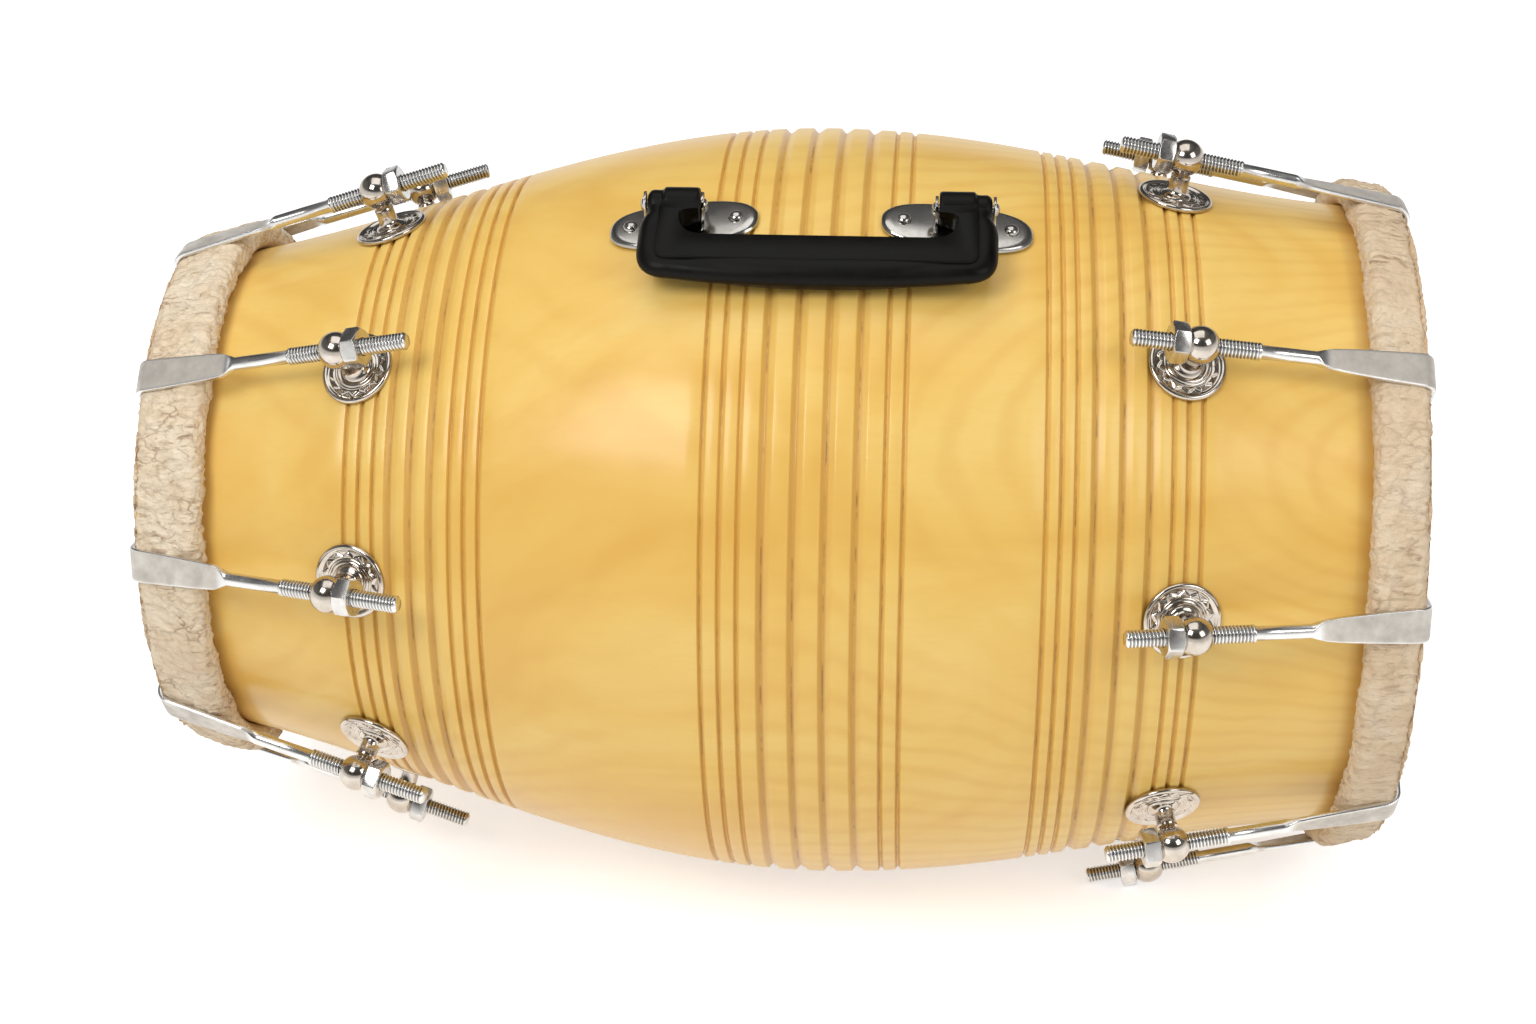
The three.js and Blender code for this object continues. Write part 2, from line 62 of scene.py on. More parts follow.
belly_radius = 0.1457
treble_end = Named(name="treble", heading=-1, reach=0.244, edge=0.0912, flare=0.300, wall=0.011)
bass_end = Named(name="bass", heading=1, reach=0.209, edge=0.1184, flare=0.230, wall=0.025)
ends = (treble_end, bass_end)
round_share = 1.0034  # between the flats and the corners of the CAD solid's sides
edge_bevel = 0.0015
bands = [
    Named(centre=-0.1426, counts=(3, 3, 3), groove=0.0055, join=0.0067, valley=0.0080),
    Named(centre=-0.0022, counts=(3, 4, 2), groove=0.0064, join=0.0089, valley=0.0108),
    Named(centre=0.1081, counts=(3, 3, 3), groove=0.0051, join=0.0072, valley=0.0096),
]
groove = Named(width=0.0021, depth=0.0013, shares=(
    (-1.2, 0), (-1, 0.07), (-0.82, 0.3), (-0.3, 0.95), (0, 1), (0.25, 0.93), (0.85, 0.25), (1.05, 0.06), (1.3, 0)))
valley = Named(width=0.0050, depth=0.0019, shares=(
    (-1.1, 0), (-0.98, 0.06), (-0.85, 0.28), (-0.4, 0.93), (-0.28, 1), (-0.1, 0.97), (0.82, 0.14), (0.98, 0.03),
    (1.15, 0)))
widest_share = 1.3
shell_steps = 240
plain_step = 0.004
bore_steps = 12
wander = Named(reach=0.00022, round=1.3, along=14)

shell_low, shell_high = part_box("shell")
belly_x = shell_low.x + treble_end.reach
axis_z = shell_high.z - belly_radius
on_axis = Matrix.Translation((belly_x, 0, axis_z))


def radius_at(end, reach):
    """The barrel's radius at this reach from the belly: a sine that falls to the end's edge."""
    edge_share = sin(pi / 2 * end.reach / end.flare) ** 2
    fall = (belly_radius - end.edge) / edge_share * sin(pi / 2 * reach / end.flare) ** 2
    return belly_radius - fall


def end_of(x):
    return treble_end if x < 0 else bass_end


def barrel_radius(x):
    return round_share * radius_at(end_of(x), abs(x))


def lean_at(end, reach):
    """How steeply the barrel falls at this reach."""
    step = 0.0001
    return atan2(radius_at(end, reach - step) - radius_at(end, reach + step), 2 * step)


def band_cuts(band):
    """The place and kind of each cut of a band, from the treble side."""
    cuts, at = [], 0
    for count, kind, pitch in zip(band.counts, (groove, valley, groove), (band.groove, band.valley, band.groove)):
        for k in range(count):
            cuts.append((at, kind))
            at += pitch if k < count - 1 else band.join
    start = band.centre - cuts[-1][0] / 2
    return [(start + at, kind) for at, kind in cuts]


def form(name, adds, **settings):
    """A plain Blender form, added by itself and named."""
    bpy.ops.object.select_all(action="DESELECT")
    adds(**settings)
    piece = bpy.context.object
    piece.name = name
    return piece


def alone(piece):
    """Makes a piece the only one selected, and the active one."""
    bpy.ops.object.select_all(action="DESELECT")
    bpy.context.view_layer.objects.active = piece
    piece.select_set(True)


def smoothed(piece, crease):
    """Shades a piece smooth, but for edges sharper than so many degrees."""
    alone(piece)
    bpy.ops.object.shade_smooth_by_angle(angle=radians(crease))


def pick_all():
    """Selects every point of the mesh in edit mode."""
    bpy.ops.mesh.select_all(action="SELECT")


def closed():
    """Turns all faces outwards and leaves edit mode."""
    pick_all()
    bpy.ops.mesh.normals_make_consistent(inside=False)
    bpy.ops.object.mode_set(mode="OBJECT")


def turned(name, outline, steps, axis="X", crease=35):
    """Draws an outline of (along, out) points and spins it round the axis, as on a lathe."""
    def point(along, out):
        return Vector((along, 0, out)) if axis == "X" else Vector((out, 0, along))

    piece = form(name, bpy.ops.mesh.primitive_plane_add, size=edge_bevel)
    bpy.ops.object.mode_set(mode="EDIT")
    bpy.ops.mesh.merge(type="CENTER")
    bpy.ops.transform.translate(value=point(*outline[0]))
    for before, after in zip(outline, outline[1:]):
        bpy.ops.mesh.extrude_region_move(TRANSFORM_OT_translate={"value": point(*after) - point(*before)})
    pick_all()
    doublings = 3
    sector = tau / 2 ** doublings
    bpy.ops.mesh.spin(steps=steps // 2 ** doublings, angle=sector, center=(0, 0, 0),
                      axis=(1, 0, 0) if axis == "X" else (0, 0, 1))
    for k in range(doublings):
        pick_all()
        bpy.ops.mesh.duplicate()
        bpy.ops.transform.rotate(value=sector * 2 ** k, orient_axis=axis, center_override=(0, 0, 0))
    pick_all()
    bpy.ops.mesh.remove_doubles(threshold=2e-6)
    closed()
    smoothed(piece, crease)
    return piece


def place(piece, matrix, body, node):
    """Sets a piece in the row frame for good, hangs it on the body it rides on, and hides the CAD part it stands
    for.
    """
    piece.data.transform(matrix)
    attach(piece, body)
    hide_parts(node)


def marked(piece, *names):
    """Adds values to a piece's points, all before any is handed out, as adding one moves the others."""
    for name in names:
        piece.data.attributes.new(name, "FLOAT", "POINT")
    return [piece.data.attributes[name].data for name in names]


def plain_until(x):
    """Carries the shell's outline along the barrel up to here."""
    while shell_outline[-1][0] + 1.5 * plain_step < x:
        along = shell_outline[-1][0] + plain_step
        shell_outline.append((along, barrel_radius(along)))


first_x, last_x = edge_bevel - treble_end.reach, bass_end.reach - edge_bevel
shell_outline = [(-treble_end.reach, round_share * treble_end.edge - edge_bevel), (first_x, barrel_radius(first_x))]
all_cuts = [cut for band in bands for cut in band_cuts(band)]
for at, kind in all_cuts:
    section = [(at + across * kind.width / 2, deep * kind.depth) for across, deep in kind.shares]
    plain_until(section[0][0])
    shell_outline += [(x, barrel_radius(x) - deep) for x, deep in section if x > shell_outline[-1][0]]
plain_until(last_x)
shell_outline += [(last_x, barrel_radius(last_x)), (bass_end.reach, round_share * bass_end.edge - edge_bevel)]
shell_length = treble_end.reach + bass_end.reach
for k in range(bore_steps + 1):
    x = bass_end.reach - shell_length * k / bore_steps
    wall = treble_end.wall + (bass_end.wall - treble_end.wall) * (x + treble_end.reach) / shell_length
    shell_outline.append((x, barrel_radius(x) - wall))
shell = turned("turned_shell", shell_outline + shell_outline[:1], shell_steps)

# cut_side holds where across a cut each point lies, for the painted shade on the cuts' left walls.
cut_depth, cut_side = marked(shell, "cut_depth", "cut_side")
for vertex in shell.data.vertices:
    x, y, z = vertex.co
    out, angle = hypot(y, z), atan2(y, z)
    for at, kind in all_cuts:
        across = (x - at) / (kind.width / 2)
        if abs(across) < widest_share and out > barrel_radius(x) - 2 * kind.depth:
            cut_depth[vertex.index].value = max(0, (barrel_radius(x) - out) / kind.depth)
            cut_side[vertex.index].value = across
    hand = Vector((wander.round * cos(angle), wander.round * sin(angle), wander.along * x))
    vertex.co.x += wander.reach * noise.noise(hand)
place(shell, on_axis, "root", "shell")


def plug(tree, node, *inputs):
    """Sets a node's inputs from pairs of socket and value: another node's output, a colour or a number."""
    for key, value in inputs:
        socket = node.inputs[key]
        if isinstance(value, bpy.types.NodeSocket):
            tree.links.new(value, socket)
        else:
            socket.default_value = (*value, 1) if socket.type == "RGBA" else value


def add(tree, kind, *inputs, **settings):
    """A node with its settings and its inputs."""
    node = tree.nodes.new(kind)
    for key, value in settings.items():
        setattr(node, key, value)
    plug(tree, node, *inputs)
    return node


def new_material(name, *finish):
    """A material with its nodes ready, and the shader's plain sockets set."""
    material = bpy.data.materials.new(name)
    material.use_nodes = True
    tree = material.node_tree
    shader = tree.nodes["Principled BSDF"]
    plug(tree, shader, *finish)
    return material, tree, shader


def attribute(tree, name):
    return add(tree, "ShaderNodeAttribute", attribute_name=name).outputs["Fac"]


def stretched(tree, scales=(1, 1, 1)):
    """Object coordinates, stretched by a scale on each axis."""
    coordinates = add(tree, "ShaderNodeTexCoord")
    return add(tree, "ShaderNodeMapping", ("Vector", coordinates.outputs["Object"]),
               ("Scale", scales)).outputs["Vector"]


def noise_of(tree, vector, scale, detail=4, roughness=0.55, distortion=0):
    return add(tree, "ShaderNodeTexNoise", ("Vector", vector), ("Scale", scale), ("Detail", detail),
               ("Roughness", roughness), ("Distortion", distortion)).outputs["Fac"]


def ramp_of(tree, factor, *stops):
    """A grey or colour ramp over a factor. Each stop is (place, colour)."""
    ramp = add(tree, "ShaderNodeValToRGB", ("Fac", factor))
    elements = ramp.color_ramp.elements
    while len(elements) < len(stops):
        elements.new(1)
    for element, (at, colour) in zip(elements, stops):
        element.position = at
        element.color = (*colour, 1) if isinstance(colour, tuple) else (colour, colour, colour, 1)
    return ramp.outputs["Color"]


def mixed(tree, factor, first, second):
    """The first colour with the second laid over it by a factor."""
    return add(tree, "ShaderNodeMix", (0, factor), (6, first), (7, second), data_type="RGBA").outputs[2]


def sum_of(tree, first, second, operation="ADD"):
    return add(tree, "ShaderNodeMath", (0, first), (1, second), operation=operation).outputs["Value"]


def times(tree, first, second):
    return sum_of(tree, first, second, "MULTIPLY")


def larger(tree, first, second):
    return sum_of(tree, first, second, "MAXIMUM")


def bumped(tree, shader, height, distance, strength):
    bump = add(tree, "ShaderNodeBump", ("Height", height), ("Distance", distance), ("Strength", strength))
    plug(tree, shader, ("Normal", bump.outputs["Normal"]))


def dress(piece, material):
    piece.data.materials.clear()
    piece.data.materials.append(material)


lacquer = Named(deep=(0.84, 0.50, 0.105), clear=(0.885, 0.565, 0.135), pale=(0.91, 0.62, 0.175),
                ring=(0.74, 0.37, 0.055), streak=(0.78, 0.43, 0.08), cut=(0.62, 0.335, 0.065),
                line=(0.27, 0.125, 0.035), grime=(0.40, 0.19, 0.05))
pith_place, pith_tilt = (0, 0.045, -0.175), (0, 0.10, 0.12)
wood, tree, shader = new_material("lacquered_wood", ("Coat Weight", 0.32), ("Coat Roughness", 0.17),
                                  ("IOR", 1.5), ("Specular IOR Level", 0.35))
plain = stretched(tree)
pith = add(tree, "ShaderNodeMapping", ("Vector", plain), ("Location", pith_place), ("Rotation", pith_tilt))
rings = add(tree, "ShaderNodeTexWave", ("Vector", pith.outputs["Vector"]), ("Scale", 62), ("Distortion", 5.5),
            ("Detail", 2.5), ("Detail Scale", 0.35), ("Detail Roughness", 0.45),
            wave_type="RINGS", rings_direction="X", wave_profile="SIN").outputs["Fac"]
clouds = noise_of(tree, stretched(tree, (0.6, 1, 1)), 12, 3, 0.5, 1.8)
streaks = noise_of(tree, stretched(tree, (6, 60, 60)), 8, 5, 0.6)
gold = ramp_of(tree, clouds, (0.34, lacquer.deep), (0.5, lacquer.clear), (0.66, lacquer.pale))
ring_lines = ramp_of(tree, rings, (0, 0.24), (0.3, 0.1), (0.6, 0))
ring_fade = ramp_of(tree, noise_of(tree, plain, 9, 2), (0.4, 0.15), (0.62, 1))
gold = mixed(tree, times(tree, ring_lines, ring_fade), gold, lacquer.ring)
gold = mixed(tree, ramp_of(tree, streaks, (0.5, 0), (0.8, 0.18)), gold, lacquer.streak)
depth = attribute(tree, "cut_depth")
stain = ramp_of(tree, depth, (0, 0), (0.3, 0.55), (1, 0.8))
shaded_left_wall = ramp_of(tree, attribute(tree, "cut_side"), (0, 1), (0.2, 0.3), (1, 0.05))
# Stain and painted shade: the cuts darken with depth, partly stain that gathers in them, and far more on their left
# walls, where the darkening is painted shade.
gold = mixed(tree, times(tree, stain, shaded_left_wall), gold, lacquer.cut)
# A thin dark line along the deepest part of the cuts, broken up by a noise mask (worn) that follows no wear.
worn = ramp_of(tree, noise_of(tree, plain, 60, 4, 0.65), (0.50, 0), (0.64, 1))
gold = mixed(tree, times(tree, ramp_of(tree, depth, (0.93, 0), (0.99, 0.7)), worn), gold, lacquer.line)
# Painted shade: the wood next to each skin roll is darkened, standing in for the shadow the roll casts on the shell.
gold = mixed(tree, times(tree, attribute(tree, "shade_by_roll"), 0.42), gold, lacquer.grime)
plug(tree, shader, ("Base Color", gold), ("Roughness", ramp_of(tree, clouds, (0.3, 0.34), (0.7, 0.46))))
ripples = noise_of(tree, stretched(tree, (0.5, 1, 1)), 260, 3, 0.55, 1.6)
bumped(tree, shader, sum_of(tree, ripples, streaks), 0.00006, 0.5)
dress(shell, wood)

# Heads: goat skin, put on wet and lapped round a hoop into a thick roll, which dries hard and creased. The
# roll slips over the shell's end, and the hooks draw it down until the skin is tight over the edge.

rows = 9
row_angle = tau / rows
running_gap = 0.0003
skin = Named(thickness=0.0012, gap=0.0008, toe=0.004, heel=0.005, lip_rise=0.004, clear=0.0015)
strap_thickness = 0.0021
post_height = 0.0165
# tan is how far each skin is painted tanner; the bass skin's larger tan is partly a tanner hide and partly painted
# shade for the dimmer bass end.
vars(treble_end).update(roll_length=0.029, roll_overhang=0.0045, roll_height=0.0132, post_inset=0.0783,
                        roll_drawn=0.0032, folds=(80, 250), tan=0.15)
vars(bass_end).update(roll_length=0.020, roll_overhang=0.004, roll_height=0.0107, post_inset=0.0797,
                      roll_drawn=0.0004, folds=(50, 230), tan=0.85)
roll_step = 0.0008
brow_points = ((0, 0.002), (-0.0008, 0))
lip_points = ((0.0006, 0.001), (0, -0.001))
centre_shares = (0.93, 0.86, 0.78, 0.7, 0.6, 0.5, 0.4, 0.3, 0.2, 0.1, 0)
crease_depth = 0.0010
lip_fade = 0.004
held = Named(reach=0.009, depth=0.0002)
swell = Named(reach=0.0010, rise=0.0005, scale=55)
struck_share = 0.8
# How far along the shell the painted shade beside each roll reaches.
roll_shade_reach = 0.005
skin_steps = 720


def lay_out(end):
    """Where the post's ball, the rod's line and the roll lie at this end, as reach and radius."""
    end.foot = end.reach - end.post_inset
    end.lean = lean_at(end, end.foot)
    end.foot_radius = radius_at(end, end.foot)
    end.ball = (end.foot + post_height * sin(end.lean), end.foot_radius + post_height * cos(end.lean))
    end.roll_end = end.reach + end.roll_overhang
    roll_start = end.roll_end - end.roll_length
    along = (roll_start + end.roll_end) / 2 - end.ball[0]
    down = end.ball[1] - end.edge - end.roll_height
    seat = running_gap + strap_thickness / 2
    end.slope = atan2(down, along) - asin(seat / hypot(along, down))
    end.toe = below_rod(end, end.roll_end - skin.toe, seat + skin.toe)
    end.heel = below_rod(end, roll_start + skin.heel, seat + skin.heel)
    end.skin_start = roll_start + end.roll_drawn
    end.skin_heel = below_rod(end, end.skin_start + skin.heel, seat + skin.heel)


def below_rod(end, reach, depth):
    """The point at this reach and depth below the rod's line, and how far along the rod it lies."""
    slope = end.slope
    run = (reach - end.ball[0] + depth * sin(slope)) / cos(slope)
    return Named(run=run, reach=reach, radius=end.ball[1] - run * sin(slope) - depth * cos(slope))


def corner(centre, radius, start, finish, steps):
    """Points of a round corner between two headings."""
    angles = [start + (finish - start) * k / steps for k in range(steps + 1)]
    return [(centre.reach + radius * sin(a), centre.radius + radius * cos(a)) for a in angles]


def spaced(points, step):
    """The same outline with points no further apart than a step."""
    finer = [points[0]]
    for before, after in zip(points, points[1:]):
        count = max(1, ceil(dist(before, after) / step))
        finer += [tuple(a + (b - a) * (k / count) for a, b in zip(before, after)) for k in range(1, count + 1)]
    return finer


def moved(profile, along, out):
    """A profile's points, moved along and out."""
    return [(along + a, out + b) for a, b in profile]


def head_outline(end):
    """The skin's section: over the shell's end, round the roll and in over the edge to the middle."""
    inside = end.reach + running_gap
    outside = inside + skin.thickness
    lip = end.edge + edge_bevel
    brow = lip + skin.lip_rise
    under = [(reach, round_share * radius_at(end, reach) + skin.gap) for reach in
             (end.reach - edge_bevel, (end.skin_start + end.reach) / 2, end.skin_start + skin.heel / 2)]
    roll = [(end.skin_start, under[-1][1] + skin.heel / 2)]
    roll += corner(end.skin_heel, skin.heel, -pi / 2, end.slope, 8)
    roll += corner(end.toe, skin.toe, end.slope, pi / 2, 7)
    roll += moved(brow_points, end.roll_end, brow) + moved(lip_points, outside, lip)
    centre = [(outside, lip * share) for share in centre_shares]
    return [(inside, 0), (inside, end.edge - edge_bevel)] + under + spaced(roll, roll_step) + centre


def smooth_share(value):
    """From 0 to 1 with level ends."""
    value = min(1, max(0, value))
    return value * value * (3 - 2 * value)


def lumps(point, scale, shift=0):
    """Smooth noise at a place, from -1 to 1."""
    x, y, z = point
    return noise.noise(Vector((x * scale, y * scale, z * scale + shift)))


def crumple(end, point):
    """How deep the dried skin is creased at this place on the roll, from 0 to 1."""
    x, y, z = point
    warp = 0.35 * lumps(point, 140)
    along, fine = end.folds
    folds = abs(noise.noise(Vector((x * along + warp, y * fine + warp, z * fine))))
    patch = smooth_share(0.5 + 1.6 * lumps(point, 28, 3))
    dents = max(0, 1 - abs(lumps(point, 190, 7)) / 0.2)
    return max(0, 1 - folds / 0.22) * (1 - 0.5 * patch) + 0.6 * dents * patch


for end in ends:
    lay_out(end)
# Painted shade: each shell point gets how near it lies to a skin roll, for the shadow painted on the wood beside it.
shade_by_roll, = marked(shell, "shade_by_roll")
for vertex in shell.data.vertices:
    x = vertex.co.x - belly_x
    shade_by_roll[vertex.index].value = smooth_share(1 - (end_of(x).skin_start - abs(x)) / roll_shade_reach)

for end in ends:
    outline = [(end.heading * reach, radius) for reach, radius in head_outline(end)]
    head = turned(end.name + "_skin", outline, skin_steps, crease=60)
    crease, on_roll, tan_and_shade, struck = marked(head, "crease", "on_roll", "tan_and_shade", "struck")
    normals = [vertex.normal.copy() for vertex in head.data.vertices]
    lip_radius = end.edge + edge_bevel
    for vertex, normal in zip(head.data.vertices, normals):
        x, y, z = point = tuple(vertex.co)
        reach, out, angle = abs(x), hypot(y, z), atan2(-y, z)
        tan_and_shade[vertex.index].value = end.tan
        struck[vertex.index].value = smooth_share(1 - out / (struck_share * end.edge))
        if out < lip_radius - lip_fade or out < radius_at(end, min(reach, end.reach)) + skin.clear:
            continue
        fade = min(1, max(0, (out - lip_radius) / lip_fade))
        depth = crumple(end, point)
        crease[vertex.index].value = depth
        on_roll[vertex.index].value = fade
        from_row = (angle / row_angle + 0.5) % 1 - 0.5
        grip = exp(-(from_row * row_angle * end.edge / held.reach) ** 2)
        rise = (1 - grip) * (swell.reach * lumps(point, swell.scale) + swell.rise)
        vertex.co += normal * fade * (rise - crease_depth * depth - held.depth * grip)
    place(head, on_axis, "root", end.name + "_head")
    end.skin_piece = head


def warped(tree, vector, scale, reach):
    """The same coordinates, drawn about by noise."""
    pull = add(tree, "ShaderNodeTexNoise", ("Vector", vector), ("Scale", scale), ("Detail", 3)).outputs["Color"]
    centred = add(tree, "ShaderNodeVectorMath", (0, pull), (1, (0.5, 0.5, 0.5)), operation="SUBTRACT")
    drawn = add(tree, "ShaderNodeVectorMath", (0, centred.outputs["Vector"]), ("Scale", reach), operation="SCALE")
    return add(tree, "ShaderNodeVectorMath", (0, vector), (1, drawn.outputs["Vector"])).outputs["Vector"]


def cells_of(tree, vector, scale):
    """How far a place is from the nearest crease between cells."""
    return add(tree, "ShaderNodeTexVoronoi", ("Vector", vector), ("Scale", scale),
               feature="DISTANCE_TO_EDGE").outputs["Distance"]


tone = Named(dark=(0.80, 0.63, 0.44), clear=(0.88, 0.73, 0.53), pale=(0.94, 0.83, 0.65),
             stain=(0.62, 0.46, 0.31), tan=(0.66, 0.46, 0.27), handled=(0.56, 0.42, 0.28),
             follicle=(0.42, 0.28, 0.17), fold=(0.55, 0.39, 0.24), crack=(0.32, 0.18, 0.085))
rawhide, tree, shader = new_material("rawhide", ("IOR", 1.45))
plain = stretched(tree)
on_roll = attribute(tree, "on_roll")
tan_and_shade = attribute(tree, "tan_and_shade")
mottle = noise_of(tree, plain, 48, 5, 0.62, 0.6)
hide = ramp_of(tree, mottle, (0.32, tone.dark), (0.5, tone.clear), (0.68, tone.pale))
stains = ramp_of(tree, noise_of(tree, plain, 21, 6, 0.7, 0.8), (0.54, 0), (0.74, 0.45))
hide = mixed(tree, stains, hide, tone.stain)
wide_cells = cells_of(tree, warped(tree, stretched(tree, (0.34, 1, 1)), 120, 0.009), 190)
small_cells = cells_of(tree, warped(tree, stretched(tree, (0.5, 1, 1)), 200, 0.006), 360)
where = ramp_of(tree, noise_of(tree, plain, 75, 4, 0.6), (0.48, 0), (0.62, 1))
small_where = ramp_of(tree, noise_of(tree, plain, 60, 3), (0.42, 1), (0.56, 0))
# Painted shade: dark lines on the cell edges stand in for the shade in the skin's cracks.
cracks = larger(tree, times(tree, ramp_of(tree, wide_cells, (0, 1), (0.07, 0)), where),
                times(tree, ramp_of(tree, small_cells, (0, 0.35), (0.07, 0)), small_where))
cracks = times(tree, cracks, ramp_of(tree, tan_and_shade, (0.2, 1), (0.8, 0.4)))
lines = ramp_of(tree, noise_of(tree, stretched(tree, (0.16, 1, 1)), 400, 3, 0.6, 0.5), (0.54, 0), (0.66, 0.9))
lined = ramp_of(tree, noise_of(tree, plain, 42, 3, 0.6), (0.42, 0), (0.58, 1))
cracks = times(tree, larger(tree, cracks, times(tree, lines, lined)), on_roll)
# Painted shade: the skin is darkened in its creases, standing in for the shade that falls in them.
folds = times(tree, ramp_of(tree, attribute(tree, "crease"), (0.4, 0), (0.98, 0.38)), on_roll)
# The bass skin's tan is partly its own colour and partly painted shade, as that end gets less light.
hide = mixed(tree, ramp_of(tree, tan_and_shade, (0.2, 0.06), (0.8, 0.42)), hide, tone.tan)
blotches = ramp_of(tree, noise_of(tree, plain, 15, 6, 0.62, 1.2), (0.3, 0.15), (0.7, 1))
touched = times(tree, times(tree, attribute(tree, "struck"), blotches), 0.5)
hide = mixed(tree, touched, hide, tone.handled)
follicles = ramp_of(tree, noise_of(tree, plain, 620, 2), (0.60, 0), (0.68, 0.22))
hide = mixed(tree, follicles, hide, tone.follicle)
hide = mixed(tree, folds, hide, tone.fold)
hide = mixed(tree, times(tree, cracks, 0.8), hide, tone.crack)
plug(tree, shader, ("Base Color", hide), ("Roughness", ramp_of(tree, mottle, (0.3, 0.66), (0.7, 0.52))))
puffs = sum_of(tree, ramp_of(tree, wide_cells, (0, 0), (0.3, 1)), ramp_of(tree, small_cells, (0, 0), (0.3, 0.5)))
pores = times(tree, noise_of(tree, plain, 900, 3, 0.6), 0.25)
bumped(tree, shader, sum_of(tree, times(tree, puffs, on_roll), pores), 0.0005, 0.9)
for end in ends:
    dress(end.skin_piece, rawhide)

# Tuning posts: a cast ball on a stem, nickel plated, with a pressed rosette under it. The stud below the
# rosette screws into the shell's wall. The ball is drilled for the hook's rod and faced flat for the nut.

ball_radius = 0.00675
spot_face = 0.0047
stem_radius = 0.0036
rosette = Named(radius=0.0139, thickness=0.001, field=0.0082, field_step=0.00028)
stud = Named(radius=0.003, length=0.008)
thread_radius = 0.003175
star = Named(points=14, radius=0.0112, share=0.16, height=0.0006, edge=0.0003, inner=0.008, outer=0.0115)
hollow = Named(share=0.6, inset=0.0006, half=0.0004)
neck_profile = ((-0.0006, 0), (-0.0012, 0.0002), (-0.0017, 0))
foot_profile = ((0.0030, 0), (0.0020, 0.0003), (0.0014, 0.0010))
ring_profile = ((0.0012, 0.0052), (0.0007, 0.0057), (0.0002, 0.0060), (0.0002, 0.0063), (0.0007, 0.0067),
                (0.0009, 0.0071), (0.0008, 0.0075), (0.0004, 0.0079))
rim_profile = ((0.0002, -0.0022), (0.0006, -0.0019), (0.0009, -0.0014), (0.0009, -0.0008), (0.0005, -0.0002), (0, 0))


def station(end, row):
    """From a station's frame, with X towards the head and Z outwards, to the row frame."""
    return on_axis @ Matrix.Rotation(row * row_angle, 4, "X") @ towards(end)


def towards(end):
    """Turns X towards this end's head."""
    return Matrix.Rotation(pi, 4, "Z") if end.heading < 0 else Matrix.Identity(4)


def set_at(reach, radius, lean):
    """Moved out to a place over the belly's middle and leaned towards the head."""
    return Matrix.Translation((reach, 0, radius)) @ Matrix.Rotation(lean, 4, "Y")


def along_rod(end):
    """Laid along the rod's line, from the middle of the ball."""
    return set_at(*end.ball, end.slope)


def applied(piece, kind, **settings):
    """Adds a modifier, sets it and applies it."""
    modifier = piece.modifiers.new(kind.lower(), kind)
    for key, value in settings.items():
        setattr(modifier, key, value)
    alone(piece)
    bpy.ops.object.modifier_apply(modifier=modifier.name)


def softened(piece, width, sharper_than):
    applied(piece, "BEVEL", width=width, segments=2, limit_method="ANGLE", angle_limit=radians(sharper_than))


def rod_blank(radius, start, finish, sides=48):
    """A plain round bar along X, for drilling with."""
    blank = form("blank", bpy.ops.mesh.primitive_cylinder_add, vertices=sides, radius=radius, depth=finish - start)
    blank.data.transform(set_at((start + finish) / 2, 0, pi / 2))
    return blank


def cut_with(piece, cutter, operation="DIFFERENCE"):
    applied(piece, "BOOLEAN", object=cutter, operation=operation, solver="EXACT")
    bpy.data.objects.remove(cutter)


def copies(master, end, kind, body=None, turn_each=0):
    """Sets a copy of a finished piece at each of an end's nine stations, turned on the rod's line."""
    rod_line = along_rod(end)
    for row in range(rows):
        name = f"{end.name}_{kind}_{row + 1}"
        copy = master.copy()
        copy.data = master.data.copy()
        copy.name = copy.data.name = name + "_made"
        bpy.context.scene.collection.objects.link(copy)
        copy.data.transform(rod_line @ Matrix.Rotation(turn_each * row, 4, "X") @ rod_line.inverted())
        place(copy, station(end, row), body or name, name)
    bpy.data.objects.remove(master)


handling = bpy.data.node_groups.new("handling_wear", "ShaderNodeTree")
for label, kind in (("Vector", "Vector"), ("Scale", "Float"), ("Worn Colour", "Color"), ("Clean Colour", "Color"),
                    ("Worn Roughness", "Float"), ("Clean Roughness", "Float")):
    handling.interface.new_socket(label, in_out="INPUT", socket_type="NodeSocket" + kind)
for label, kind in (("Colour", "Color"), ("Roughness", "Float"), ("Height", "Float")):
    handling.interface.new_socket(label, in_out="OUTPUT", socket_type="NodeSocket" + kind)
given = add(handling, "NodeGroupInput").outputs
touched = noise_of(handling, given["Vector"], given["Scale"], 5, 0.6)
clean = ramp_of(handling, touched, (0.34, 0), (0.66, 1))
rough = add(handling, "ShaderNodeMix", (0, clean), (2, given["Worn Roughness"]), (3, given["Clean Roughness"]))
add(handling, "NodeGroupOutput", ("Colour", mixed(handling, clean, given["Worn Colour"], given["Clean Colour"])),
    ("Roughness", rough.outputs[0]), ("Height", touched))


def handled(tree, scale, worn, clean, worn_roughness, clean_roughness):
    """The wear that hands and cloths leave, placed in a material with its own values."""
    return add(tree, "ShaderNodeGroup", ("Vector", stretched(tree)), ("Scale", scale),
               ("Worn Colour", worn), ("Clean Colour", clean), ("Worn Roughness", worn_roughness),
               ("Clean Roughness", clean_roughness), node_tree=handling).outputs


def plated(name, wear, distance, *finish):
    """A polished metal that wears where it is handled."""
    material, tree, shader = new_material(name, ("Metallic", 1), *finish)
    wear = handled(tree, *wear)
    plug(tree, shader, ("Base Color", wear["Colour"]), ("Roughness", wear["Roughness"]))
    bumped(tree, shader, wear["Height"], distance, 0.5)
    return material


